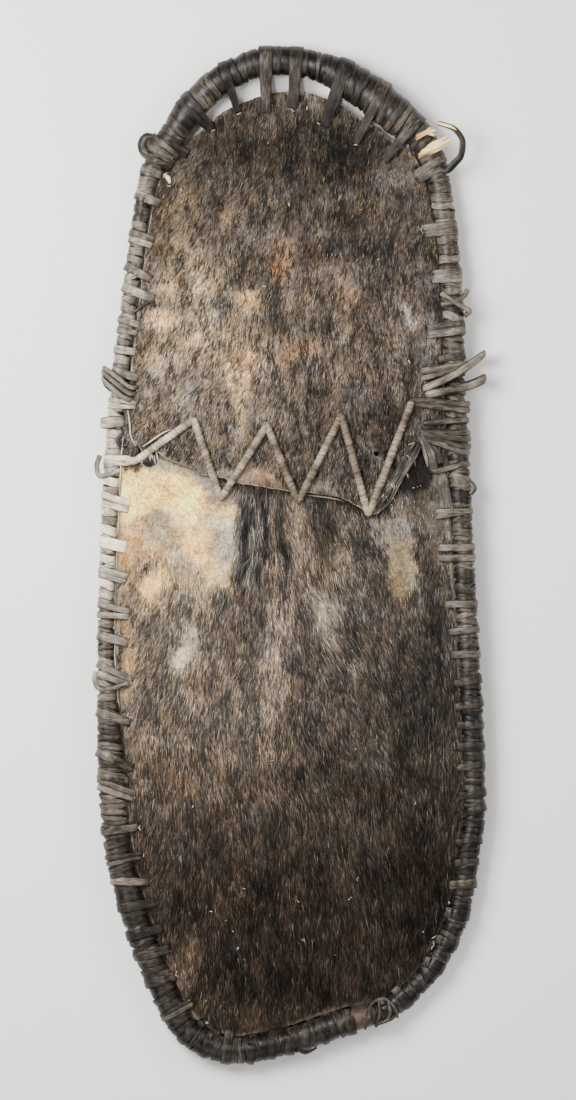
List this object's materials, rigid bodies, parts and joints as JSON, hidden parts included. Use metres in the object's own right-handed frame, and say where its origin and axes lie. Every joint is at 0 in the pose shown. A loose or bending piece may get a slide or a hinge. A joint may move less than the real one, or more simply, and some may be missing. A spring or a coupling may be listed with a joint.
{
  "type": "hide shield",
  "caption": "Long oval shield of hair-on hide in a bent cane hoop bound with split cane, with a zigzag cord over its seam and a bound grip behind.",
  "frame": {"origin": "middle of the shield's outline, on the ground it lies on, face up", "axes": "+X across the shield to the viewer's right, +Y along it to the arch at its top, +Z out of its hair side"},
  "size_m": [0.3911, 1.0199, 0.0617],
  "materials": {
    "bent_cane": "bare bent cane, brown and dry",
    "split_cane": "weathered split cane with a dull skin",
    "hair_hide": "hair-on rawhide, dark brown with bare tan patches",
    "wrapped_cord": "fibre cord wrapped with fine strips, grey brown"
  },
  "bodies": {
    "root": {"arch_rod": "bent_cane", "hoop_rod": "bent_cane", "arch_binding": "split_cane", "left_binding": "split_cane", "right_binding": "split_cane", "foot_binding": "split_cane", "left_shoulder_lashing": "split_cane", "right_shoulder_lashing": "split_cane", "grip": "split_cane", "upper_hide": "hair_hide", "lower_hide": "hair_hide", "seam_cord": "wrapped_cord"}
  },
  "joints": []
}
